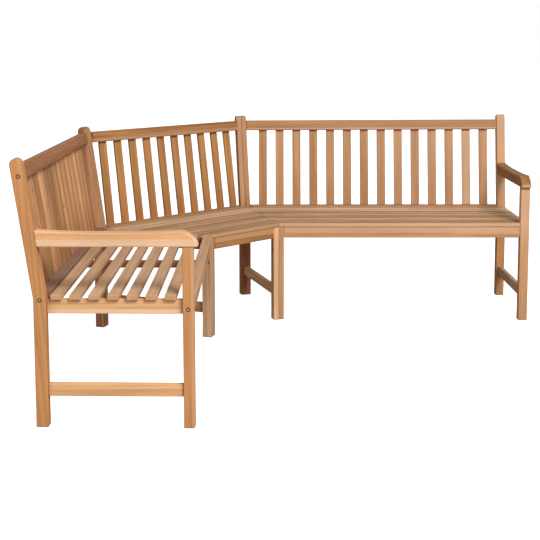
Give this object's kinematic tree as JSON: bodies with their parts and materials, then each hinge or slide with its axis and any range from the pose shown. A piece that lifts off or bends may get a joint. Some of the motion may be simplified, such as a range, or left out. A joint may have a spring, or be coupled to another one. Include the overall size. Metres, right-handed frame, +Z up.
{
  "type": "corner garden bench",
  "caption": "Corner garden bench of solid hardwood: two slatted wings meet a slanted corner section on shared leg frames, with an armrest at each end.",
  "frame": {"origin": "middle of the footprint's bounding box, on the floor", "axes": "+Z up; seen from above, the left wing runs along Y with its back at low X, and the right wing runs along X with its back at high Y, so the corner is at low X, high Y; the seats face +X and -Y"},
  "size_m": [2.0196, 2.0196, 0.8998],
  "materials": {
    "frame_wood": "oiled",
    "rail_wood": "oiled",
    "back_wood": "oiled",
    "seat_wood": "oiled",
    "arm_wood": "oiled"
  },
  "bodies": {
    "root": {"corner_back_panel": "back_wood", "corner_back_top_rail": "rail_wood", "corner_seat_front_apron": "rail_wood", "corner_seat_middle_bearer": "rail_wood", "corner_seat_slat_1": "seat_wood", "corner_seat_slat_2": "seat_wood", "corner_seat_slat_3": "seat_wood", "corner_seat_slat_4": "seat_wood", "corner_seat_slat_5": "seat_wood", "corner_seat_slat_6": "seat_wood", "corner_seat_slat_7": "seat_wood", "corner_seat_slat_8": "seat_wood", "left_back_panel": "back_wood", "left_back_top_rail": "rail_wood", "left_end_arm": "arm_wood", "left_end_back_post": "frame_wood", "left_end_front_leg": "frame_wood", "left_end_seat_rail": "rail_wood", "left_end_stretcher": "rail_wood", "left_joint_back_post_left": "frame_wood", "left_joint_back_post_right": "frame_wood", "left_joint_front_leg_left": "frame_wood", "left_joint_front_leg_right": "frame_wood", "left_joint_seat_bearer": "rail_wood", "left_joint_stretcher": "rail_wood", "left_seat_front_apron": "rail_wood", "left_seat_middle_bearer": "rail_wood", "left_seat_slat_1": "seat_wood", "left_seat_slat_2": "seat_wood", "left_seat_slat_3": "seat_wood", "left_seat_slat_4": "seat_wood", "left_seat_slat_5": "seat_wood", "left_seat_slat_6": "seat_wood", "left_seat_slat_7": "seat_wood", "left_seat_slat_8": "seat_wood", "right_back_panel": "back_wood", "right_back_top_rail": "rail_wood", "right_end_arm": "arm_wood", "right_end_back_post": "frame_wood", "right_end_front_leg": "frame_wood", "right_end_seat_rail": "rail_wood", "right_end_stretcher": "rail_wood", "right_joint_back_post_left": "frame_wood", "right_joint_back_post_right": "frame_wood", "right_joint_front_leg_left": "frame_wood", "right_joint_front_leg_right": "frame_wood", "right_joint_seat_bearer": "rail_wood", "right_joint_stretcher": "rail_wood", "right_seat_front_apron": "rail_wood", "right_seat_middle_bearer": "rail_wood", "right_seat_slat_1": "seat_wood", "right_seat_slat_2": "seat_wood", "right_seat_slat_3": "seat_wood", "right_seat_slat_4": "seat_wood", "right_seat_slat_5": "seat_wood", "right_seat_slat_6": "seat_wood", "right_seat_slat_7": "seat_wood", "right_seat_slat_8": "seat_wood"}
  },
  "joints": []
}
